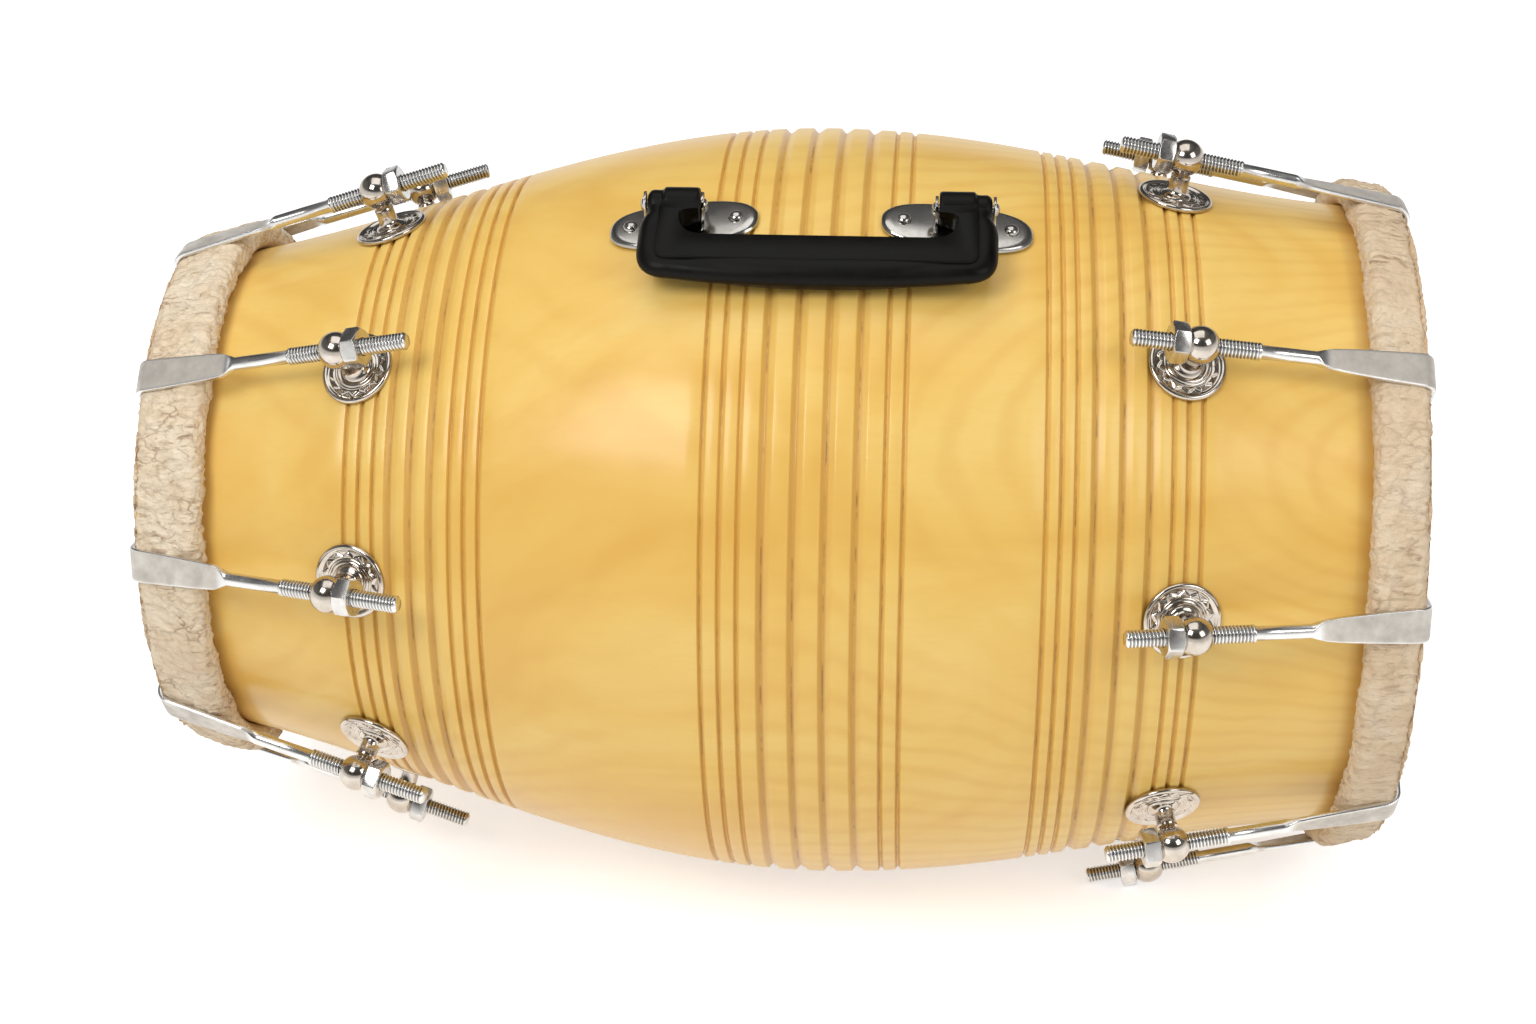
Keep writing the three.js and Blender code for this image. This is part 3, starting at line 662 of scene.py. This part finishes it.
nickel = plated("polished_nickel", (240, (0.50, 0.44, 0.375), (0.62, 0.565, 0.50), 0.18, 0.07), 0.00002, ("IOR", 2))
top = running_gap + rosette.thickness
rim = rosette.radius
ball_angles = [pi * k / 32 for k in range(29)]
post_outline = [(post_height + ball_radius * cos(angle), ball_radius * sin(angle)) for angle in ball_angles]
post_outline += moved(neck_profile, post_outline[-1][0], stem_radius) + moved(foot_profile, top, stem_radius)
post_outline += moved(ring_profile, top, 0)
post_outline += [(top, rosette.field + rosette.field_step * k) for k in range(12)]
post_outline += moved(rim_profile, top, rim) + moved(((0.0003, 0), (0, -0.0002)), running_gap, rim)
stud_end = running_gap - stud.length
post_outline += [(running_gap, stud.radius), (stud_end, stud.radius), (stud_end, 0)]
for end in ends:
    post = turned(end.name + "_post", post_outline, 168, axis="Z", crease=40)
    for vertex in post.data.vertices:
        x, y, z = vertex.co
        out = hypot(x, y)
        if star.inner < out < star.outer and z > running_gap + rosette.thickness / 2:
            tooth = abs(2 * ((atan2(y, x) / tau * star.points) % 1) - 1)
            raised = max(0, min(1, (star.radius * (1 - star.share * tooth) - out) / star.edge))
            valley_at = star.radius * (1 - star.share) - hollow.inset
            sunk = hollow.share * max(0, 1 - abs(out - valley_at) / hollow.half)
            vertex.co.z += star.height * (raised - sunk)
    across_ball = set_at(0, post_height, end.slope - end.lean)
    for radius, start, finish in ((thread_radius + running_gap, -2 * ball_radius, 2 * ball_radius),
                                  (2 * ball_radius, -3 * ball_radius, -spot_face)):
        tool = rod_blank(radius, start, finish)
        tool.data.transform(across_ball)
        cut_with(post, tool)
    smoothed(post, 40)
    dress(post, nickel)
    post.data.transform(set_at(end.foot, end.foot_radius, end.lean))
    copies(post, end, "post", body="root")

# Tuning hooks: a mild steel rod with a quarter-inch thread rolled on one end, forged flat into a strap at
# the other and bent over the skin roll, then zinc plated. The flat is dull and the edges are bright.

thread = Named(pitch=0.00127, depth=0.00062, steps=8, flank_share=1.25, tip=0.0004, start=0.001, runout=0.0015,
               shank=0.0006, slack=0.0001)
rod_radius = 0.0025
strap = Named(width=0.0126, thickness=strap_thickness, taper=0.0075, lip=0.012, square=1.2, edge=0.0009, fade=0.004)
nut_thickness = 0.006
vars(treble_end).update(strap_lead=0.0125, thread_lead=0.019, thread_tail=0.0175, neck_width=0.0096)
vars(bass_end).update(strap_lead=0.0225, thread_lead=0.021, thread_tail=0.0135, neck_width=0.0082)
tip_shares = ((0, 0.72), (0.0003, 0.8), (0.0008, 0.98))
lip_shares = ((0.3, 1, 1), (0.6, 1, 1), (0.9, 0.99, 1), (0.97, 0.95, 0.9), (1, 0.86, 0.6))
bar_sides = 32
taper_steps, strap_steps, bend_steps = 14, 10, 8
for end in ends:
    end.tip = -spot_face - running_gap - nut_thickness - end.thread_tail
    end.flat_start = end.heel.run - skin.heel - end.strap_lead
    end.flat_end = end.flat_start + strap.taper


def skinned(name, rings):
    """A closed skin over rings of points, each with the same number, and flat ends."""
    count = len(rings[0])
    piece = form(name, bpy.ops.mesh.primitive_grid_add, x_subdivisions=len(rings) - 1, y_subdivisions=count, size=2)
    for vertex in piece.data.vertices:
        ring = rings[round((vertex.co.x + 1) / 2 * (len(rings) - 1))]
        vertex.co = ring[round((vertex.co.y + 1) / 2 * count) % count]
    bpy.ops.object.mode_set(mode="EDIT")
    pick_all()
    bpy.ops.mesh.remove_doubles(threshold=1e-6)
    bpy.ops.mesh.select_all(action="DESELECT")
    bpy.ops.mesh.select_non_manifold(extend=False)
    bpy.ops.mesh.fill_holes(sides=0)
    closed()
    return piece


def bar_ring(section):
    """Points round a section of (centre, up, half width, half height, squareness)."""
    centre, up, half_width, half_height, square = section
    power = 2 / (2 + 6 * square)
    ring = []
    for k in range(bar_sides):
        side, rise = (copysign(abs(part) ** power, part) for part in
                      (cos(tau * k / bar_sides), sin(tau * k / bar_sides)))
        ring.append(centre + Vector((0, half_width * side, 0)) + up * (half_height * rise))
    return ring


def strap_width(end, x):
    """The strap's width at this place along the rod's line: it widens towards the bend."""
    share = min(1, max(0, (x - end.flat_end) / (end.toe.run - end.flat_end)))
    return end.neck_width + (strap.width - end.neck_width) * share ** 0.7


def hook_sections(end):
    """Sections of the rod and strap along the rod's line, X towards the head and Z outwards."""
    half = strap.thickness / 2
    bend_inside = skin.toe + running_gap
    bend_turn = pi / 2 - end.slope
    sections = []

    def straight(x, half_width, half_height, square=0):
        sections.append((Vector((x, 0, 0)), Vector((0, 0, 1)), half_width, half_height, square))

    for inset, share in tip_shares:
        straight(end.tip + inset, thread_radius * share, thread_radius * share)
    x = end.tip + thread.start
    while x < end.thread_lead:
        straight(x, thread_radius, thread_radius)
        x += thread.pitch / thread.steps
    for x in (end.thread_lead + thread.shank, (end.thread_lead + end.flat_start) / 2):
        straight(x, rod_radius, rod_radius)
    for k in range(taper_steps + 1):
        share = k / taper_steps
        thin = smooth_share(1.6 * share)
        straight(end.flat_start + strap.taper * share,
                 rod_radius + (end.neck_width / 2 - rod_radius) * smooth_share(share),
                 rod_radius + (half - rod_radius) * thin, strap.square * thin)
    for k in range(1, strap_steps + 1):
        x = end.flat_end + (end.toe.run - end.flat_end) * (k / strap_steps)
        straight(x, strap_width(end, x) / 2, half, strap.square)
    for k in range(1, bend_steps + 1):
        angle = bend_turn * k / bend_steps
        out = Vector((sin(angle), 0, cos(angle)))
        centre = Vector((end.toe.run, 0, -half - bend_inside)) + out * (bend_inside + half)
        sections.append((centre, out, strap.width / 2, half, strap.square))
    down = Vector((cos(bend_turn), 0, -sin(bend_turn)))
    for share, width, height in lip_shares:
        sections.append((centre + down * strap.lip * share, out, strap.width / 2 * width, half * height,
                         strap.square))
    return sections


zinc, tree, shader = new_material("zinc_plate", ("Metallic", 1))
flat = attribute(tree, "flat_face")
dull = handled(tree, 130, (0.50, 0.462, 0.41), (0.70, 0.65, 0.58), 0.5, 0.34)
bright = handled(tree, 130, (0.68, 0.67, 0.65), (0.79, 0.785, 0.77), 0.28, 0.16)
plating = mixed(tree, flat, bright["Colour"], dull["Colour"])
# Painted shade: the thread's roots are darkened nearly to black, standing in for the shade in the thread's grooves.
plating = mixed(tree, times(tree, attribute(tree, "thread_root"), 0.85), plating, (0.10, 0.092, 0.08))
plug(tree, shader, ("Base Color", plating), ("Roughness", mixed(tree, flat, bright["Roughness"], dull["Roughness"])),
     ("Metallic", ramp_of(tree, flat, (0, 1), (1, 0.35))))
scratches = noise_of(tree, stretched(tree, (1, 6, 6)), 300, 4, 0.6)
bumped(tree, shader, sum_of(tree, scratches, dull["Height"]), 0.00004, 0.5)

for end in ends:
    hook = skinned(end.name + "_hook", [bar_ring(section) for section in hook_sections(end)])
    smoothed(hook, 50)
    # thread_root holds how deep each point lies in the thread, for the painted shade in its roots.
    flat_face, thread_root = marked(hook, "flat_face", "thread_root")
    flat_from = end.flat_start + 0.3 * strap.taper
    for vertex in hook.data.vertices:
        x, y, z = vertex.co
        from_tip, to_lead = x - end.tip, end.thread_lead - x
        if from_tip > thread.start - thread.slack and to_lead > -thread.slack:
            phase = (x / thread.pitch - atan2(z, y) / tau) % 1
            runout = min(1, to_lead / thread.runout, (from_tip - thread.tip) / thread.start)
            deep = max(0, 1 - abs(2 * phase - 1) * thread.flank_share) * max(0.15, runout)
            thread_root[vertex.index].value = deep
            shrink = 1 - thread.depth * deep / thread_radius
            vertex.co.y, vertex.co.z = y * shrink, z * shrink
        edge_inset = min(1, max(0, (strap_width(end, x) / 2 - abs(y)) / strap.edge))
        flat_face[vertex.index].value = edge_inset * smooth_share((x - flat_from) / strap.fade)
    dress(hook, zinc)
    hook.data.transform(along_rod(end))
    copies(hook, end, "hook")

# Tuning nuts: plain quarter-inch hexagon nuts, cut from bar, chamfered on both faces and nickel plated.
# Each runs on its rod's thread and bears on the flat of the ball.

nut_width = 0.0128
corner_radius = nut_width / 2 / cos(pi / 6)
chamfer_radius = corner_radius + 0.0004
face_radius = 0.97 * nut_width / 2
chamfer = (chamfer_radius - face_radius) * tan(pi / 6)
nut_bevel = 0.00018
nut_finish = -spot_face - running_gap
nut_start = nut_finish - nut_thickness
bright_nickel = plated("nut_plate", (200, (0.58, 0.56, 0.53), (0.70, 0.685, 0.66), 0.3, 0.15), 0.00003)

for end in ends:
    nut = rod_blank(corner_radius, nut_start, nut_finish, 6)
    nut.name = end.name + "_nut"
    cut_with(nut, turned("chamfer", [
        (nut_start, 0), (nut_start, face_radius), (nut_start + chamfer, chamfer_radius),
        (nut_finish - chamfer, chamfer_radius), (nut_finish, face_radius), (nut_finish, 0)], 96), "INTERSECT")
    cut_with(nut, rod_blank(thread_radius + running_gap / 2, nut_start - nut_thickness, nut_finish + nut_thickness))
    softened(nut, nut_bevel, 25)
    smoothed(nut, 35)
    dress(nut, bright_nickel)
    nut.data.transform(along_rod(end))
    copies(nut, end, "nut", turn_each=radians(23))

# Handle brackets: an oval plate pressed from steel with its edge rolled down, two upright ears riveted to
# a pin, and two round-head screws into the shell. All of it is nickel plated.

bracket = Named(spacing=0.0975, length=0.054, width=0.023, thickness=0.0013, screw_spacing=0.0385)
ear = Named(offset=0.0028, thickness=0.0011, foot=0.012, bevel=0.0002)
pivot_height = 0.0092
pin_radius = 0.0015
boss_width = 0.0187
handle_angle = radians(20)
corner_share = 1 / cos(pi / (3 * rows))  # the corners of the CAD solid's sides
plate_reach = bracket.spacing / 2
pivot_reach = plate_reach + ear.offset
pivot_radius = corner_share * radius_at(bass_end, pivot_reach) + pivot_height
ear_gap = boss_width + 2 * running_gap
oval_power = 2.6
plate_shares = ((1, 0), (1, 0.5), (1, 0.86), (0.98, 0.90), (0.85, 0.94), (0.55, 0.975), (0, 1))
plate_edge = ((-0.0006, 1), (-0.0006, 0.96), (0, 0.93), (0, 0))
screw = Named(rise=0.0019, radius=0.0027, sunk=0.0004, steps=8)
ear_foot = ((0, 0), (0, 0.0008))
ear_profile = ((0.0042, 0.0021), (0.0031, 0.0042))
ear_top = [(0.0028, -0.001), (0.0027, 0.0034), (0.0019, 0.0044)]
rivet_profile = ((0.0013, 0), (0.0012, 0.0010), (0.0008, 0.0019), (0.0003, 0.0023), (0, 0.0024), (0, pin_radius))


def outlined(name, points, thickness):
    """A flat piece: an outline of (X, Y) points, filled and drawn up along Z."""
    piece = form(name, bpy.ops.mesh.primitive_circle_add, vertices=len(points), fill_type="NGON")
    for vertex, (x, y) in zip(piece.data.vertices, points):
        vertex.co = (x, y, 0)
    bpy.ops.object.mode_set(mode="EDIT")
    pick_all()
    bpy.ops.mesh.extrude_region_move(TRANSFORM_OT_translate={"value": (0, 0, thickness)})
    closed()
    return piece


def joined(name, pieces):
    """Several meshes made one."""
    alone(pieces[0])
    for piece in pieces[1:]:
        piece.select_set(True)
    bpy.ops.object.join()
    pieces[0].name = name
    return pieces[0]


pressed = plated("pressed_plate", (90, (0.44, 0.42, 0.385), (0.55, 0.53, 0.495), 0.24, 0.12), 0.00001)
in_handle = on_axis @ Matrix.Rotation(handle_angle, 4, "X")
stand_up = Matrix(((0, 0, 1, 0), (1, 0, 0, 0), (0, 1, 0, 0), (0, 0, 0, 1)))
for end in ends:
    lean = lean_at(end, plate_reach)
    seat_radius = corner_share * radius_at(end, plate_reach)
    on_barrel = set_at(plate_reach, seat_radius, lean)
    half, thick = bracket.length / 2, bracket.thickness
    face = running_gap + thick
    outline = [(running_gap + thick * rise, half * out) for rise, out in plate_shares]
    outline += [(running_gap + rise, half * out) for rise, out in plate_edge]
    plate = turned("plate", outline, 96, axis="Z")
    for vertex in plate.data.vertices:
        x, y, z = vertex.co
        out = hypot(x, y)
        if out > 0:
            full = (abs(x / out) ** oval_power + abs(y / out) ** oval_power) ** (-1 / oval_power)
            x, y = x * full, y * full * bracket.width / bracket.length
        vertex.co = (x, y, z - y ** 2 / (2 * seat_radius))
    plate.data.transform(on_barrel)
    parts = [plate]
    for side in (-1, 1):
        angles = [pi / 2 * k / screw.steps for k in range(screw.steps + 1)]
        dome = [(face + screw.rise * cos(angle), screw.radius * sin(angle)) for angle in angles]
        under = [(face - screw.sunk, screw.radius), (face - screw.sunk, 0)]
        head = turned("screw", dome + under, 40, axis="Z")
        head.data.transform(on_barrel @ Matrix.Translation((side * bracket.screw_spacing / 2, 0, 0)))
        middle = pivot_reach + side * (ear_gap / 2 + ear.thickness / 2)
        rise = pivot_radius - (seat_radius - (middle - plate_reach) * tan(lean) + running_gap)
        right = moved(ear_foot, ear.foot / 2, -rise) + moved(ear_profile, 0, -rise) + ear_top
        tab = outlined("ear", right + [(-y, z) for y, z in reversed(right)], ear.thickness)
        softened(tab, ear.bevel, 50)
        tab.data.transform(Matrix.Translation((middle - ear.thickness / 2, 0, pivot_radius)) @ stand_up)
        parts += [head, tab]
    rivet = [(-ear_gap / 2 - ear.thickness - along, out) for along, out in rivet_profile]
    pin = turned("pin", rivet + [(-along, out) for along, out in reversed(rivet)], 32)
    pin.data.transform(Matrix.Translation((pivot_reach, 0, pivot_radius)))
    whole = joined(end.name + "_bracket_made", parts + [pin])
    smoothed(whole, 40)
    dress(whole, pressed)
    place(whole, in_handle @ towards(end), "root", end.name + "_handle_bracket")

# Grip: one moulding of black plastic, with a boss round each pin, two flat arms with a raised panel, and a
# round bar for the hand. It is set folded down on the barrel, where its own weight lays it.

boss_radius = 0.0062
boss_step, boss_soft = 0.0011, 0.0006
boss_profile = ((-0.0018, 0), (-0.0006, -0.0007), (0, -0.002))
arm = Named(thickness=0.008, outset=0.0115, inset=0.0028, round=0.0046, round_steps=6, web=0.003)
shoulder = Named(start=0.0145, control=0.0095, finish=0.0065)
gap = Named(reach=0.019, corner=0.009)
bar = Named(reach=0.038, droop=0.003, corner=0.0115, radius=0.0066, shortfall=0.0115, top_share=0.8, shave=0.0001)
panel = Named(side=0.0068, bottom=0.0074, corner=0.005, cap=0.0127, rise=0.0052, edge=0.0003,
              base=0.0025, droop=0.0004, lift=0.0006)
grip_half = pivot_reach + arm.outset
body_at = bar.reach - bar.radius
rest_radius = corner_share * belly_radius + running_gap + bar.radius
folded_lean = asin((pivot_radius ** 2 + body_at ** 2 - rest_radius ** 2) / (2 * pivot_radius * body_at))
boss_in, boss_out = pivot_reach - boss_width / 2, pivot_reach + boss_width / 2


def curved(start, control, finish, steps=8):
    """Points of a curve from start to finish, drawn towards a control point, without its start."""
    shares = [k / steps for k in range(1, steps + 1)]
    return [tuple((1 - t) ** 2 * a + 2 * t * (1 - t) * b + t * t * c
                  for a, b, c in zip(start, control, finish)) for t in shares]


def whole_ring(right, z):
    """A closed ring at one height from its right half, which starts and ends on the middle line."""
    return [Vector((x, y, z)) for x, y in right + [(-x, y) for x, y in reversed(right[1:-1])]]


def body_half(inset):
    """The right half of the grip's outline, with its outer side drawn in by an inset."""
    half, far, end_far = grip_half - inset, bar.reach - inset, bar.reach - bar.droop - inset
    gap_half = pivot_reach - arm.inset
    right = [(0, far)]
    right += curved(right[-1], (half / 2, far), (half - bar.corner, end_far))
    right += curved(right[-1], (half, end_far), (half, end_far - bar.corner))
    right += [(half, shoulder.start)]
    right += curved(right[-1], (half, shoulder.control), (boss_out - inset, shoulder.finish), 5)
    web = boss_in + arm.web
    right += [(boss_out - inset, -boss_radius / 3), (web, -boss_radius / 3), (web, boss_radius)]
    right += curved(right[-1], (gap_half, boss_radius), (gap_half, gap.reach / 2))
    right += curved(right[-1], (gap_half, gap.reach), (gap_half - gap.corner, gap.reach))
    return right + [(0, gap.reach)]


def panel_half(inset):
    """The right half of the raised panel's outline, drawn in by an inset."""
    half, far = grip_half - panel.side - inset, bar.reach - panel.bottom - inset
    near, gap_half = boss_in + inset, pivot_reach - arm.inset + inset
    right = [(0, far), (half - panel.corner, far - panel.droop)]
    right += curved(right[-1], (half, far - panel.droop), (half, far - panel.corner), 6)
    right += [(half, boss_radius), (boss_in + panel.cap, boss_radius / 3), (near, boss_radius / 3),
              (near, boss_radius + panel.lift)]
    right += curved(right[-1], (gap_half, boss_radius + panel.lift), (gap_half, gap.reach / 2))
    right += curved(right[-1], (gap_half, gap.reach), (gap_half - gap.corner, gap.reach + inset))
    return right + [(0, gap.reach + inset)]


rings = []
for k in range(-arm.round_steps, arm.round_steps + 1):
    angle = pi / 2 * k / arm.round_steps
    rings.append(whole_ring(body_half(arm.round * (1 - cos(angle))), arm.thickness / 2 * sin(angle)))
grip_parts = [skinned("arms", rings)]
bar_half = grip_half - bar.shortfall / 2
angles = [pi * k / 32 for k in range(33)]
round_bar = turned("round_bar", [(-bar_half * cos(angle), (bar.radius - bar.shave) * sin(angle) ** 0.5)
                                 for angle in angles], 40)
for vertex in round_bar.data.vertices:
    if vertex.co.z < 0:
        vertex.co.z *= bar.top_share
    vertex.co.y += body_at - bar.droop * (vertex.co.x / (grip_half - bar.corner)) ** 2
grip_parts.append(round_bar)
low, step_at = boss_radius - boss_step, boss_in + panel.cap
boss = [(boss_in, 0), (boss_in, boss_radius - boss_soft), (boss_in + boss_soft, boss_radius), (step_at, boss_radius),
        (step_at, low)] + moved(boss_profile, boss_out, low) + [(boss_out, 0)]
for side in (-1, 1):
    grip_parts.append(turned("boss", [(side * along, out) for along, out in boss], 48))
grip = joined("grip_made", grip_parts)
applied(grip, "REMESH", mode="VOXEL", voxel_size=0.0005)
applied(grip, "SMOOTH", factor=0.5, iterations=4)
edge, rise = panel.edge, panel.rise
levels = ((0, panel.base), (0, rise - edge), (edge / 3, rise - edge / 3), (edge, rise))
raised = skinned("raised_panel", [whole_ring(panel_half(inset), -z) for inset, z in levels])
drilled = grip_half + arm.thickness
cut_with(grip, rod_blank(pin_radius + running_gap, -drilled, drilled, 24))
grip = joined("grip_made", [grip, raised])
smoothed(grip, 40)

black, tree, shader = new_material("black_plastic", ("IOR", 1.46), ("Specular IOR Level", 0.16))
scuffs = handled(tree, 70, (0.0055, 0.0048, 0.004), (0.0025, 0.0021, 0.0017), 0.46, 0.33)
plug(tree, shader, ("Base Color", scuffs["Colour"]), ("Roughness", scuffs["Roughness"]))
bumped(tree, shader, noise_of(tree, stretched(tree), 1500, 2), 0.00003, 0.6)
dress(grip, black)
folded = in_handle @ Matrix.Translation((0, 0, pivot_radius)) @ Matrix.Rotation(pi + folded_lean, 4, "X")
place(grip, folded, "handle", "handle_grip")

# Studio: a white table under three large soft lamps and a pale sky, seen from above by a long lens.

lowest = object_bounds()[0].z
table_size = 6
table_glow = 0.6
table = form("table", bpy.ops.mesh.primitive_plane_add, size=table_size)
table.data.transform(Matrix.Translation((0, 0, lowest)))
white, tree, shader = new_material("white_table", ("Roughness", 0.9), ("Specular IOR Level", 0.1),
                                   ("Emission Color", (1, 1, 1)))
rays = add(tree, "ShaderNodeLightPath").outputs
seen = times(tree, larger(tree, rays["Is Camera Ray"], rays["Is Glossy Ray"]), table_glow)
paper = ramp_of(tree, noise_of(tree, stretched(tree), 3, 2), (0.3, 0.90), (0.7, 0.92))
plug(tree, shader, ("Base Color", paper), ("Emission Strength", seen))
dress(table, white)

scene = bpy.context.scene
for name, point, size, power in (("soft_lamp_left", (-0.62, -0.95, 1.25), 0.6, 8),
                                 ("soft_lamp_right", (0.95, -0.8, 0.95), 0.6, 3.6),
                                 ("soft_lamp_over", (-0.1, 0, 1.6), 1.2, 6)):
    light = bpy.data.lights.new(name, "AREA")
    light.shape = "SQUARE"
    light.size = size
    light.energy = power
    holder = bpy.data.objects.new(name, light)
    scene.collection.objects.link(holder)
    holder.location = point
    holder.rotation_euler = (Vector((0, 0, axis_z)) - holder.location).to_track_quat("-Z", "Y").to_euler()

world = bpy.data.worlds.new("studio")
scene.world = world
world.use_nodes = True
tree = world.node_tree
tree.nodes.clear()
rays = add(tree, "ShaderNodeLightPath").outputs
looking = add(tree, "ShaderNodeTexCoord").outputs["Generated"]
axes = add(tree, "ShaderNodeSeparateXYZ", ("Vector", looking)).outputs
ceiling = ramp_of(tree, axes["Z"], (0, 1), (0.12, 0.9), (0.3, 0.07), (0.7, 0.08), (1, 0.2))
walls = ramp_of(tree, times(tree, axes["X"], axes["X"]), (0.34, 0), (0.5, 0.14), (1, 0.2))
mirrored = times(tree, rays["Is Glossy Ray"], larger(tree, ceiling, walls))
soft = times(tree, rays["Is Diffuse Ray"], 0.42)
shown = larger(tree, rays["Is Camera Ray"], rays["Is Transmission Ray"])
strength = larger(tree, larger(tree, soft, mirrored), shown)
sky = add(tree, "ShaderNodeBackground", ("Color", (1, 1, 1)), ("Strength", strength))
add(tree, "ShaderNodeOutputWorld", ("Surface", sky.outputs["Background"]))

lens = bpy.data.cameras.new("camera")
lens.lens = 58.9
camera = bpy.data.objects.new("camera", lens)
scene.collection.objects.link(camera)
camera.location = (0.05845, -0.88786, 0.60657)
camera.rotation_euler = (radians(62.3595), radians(0.4197), radians(3.8785))
scene.camera = camera
scene.view_settings.view_transform = "Standard"
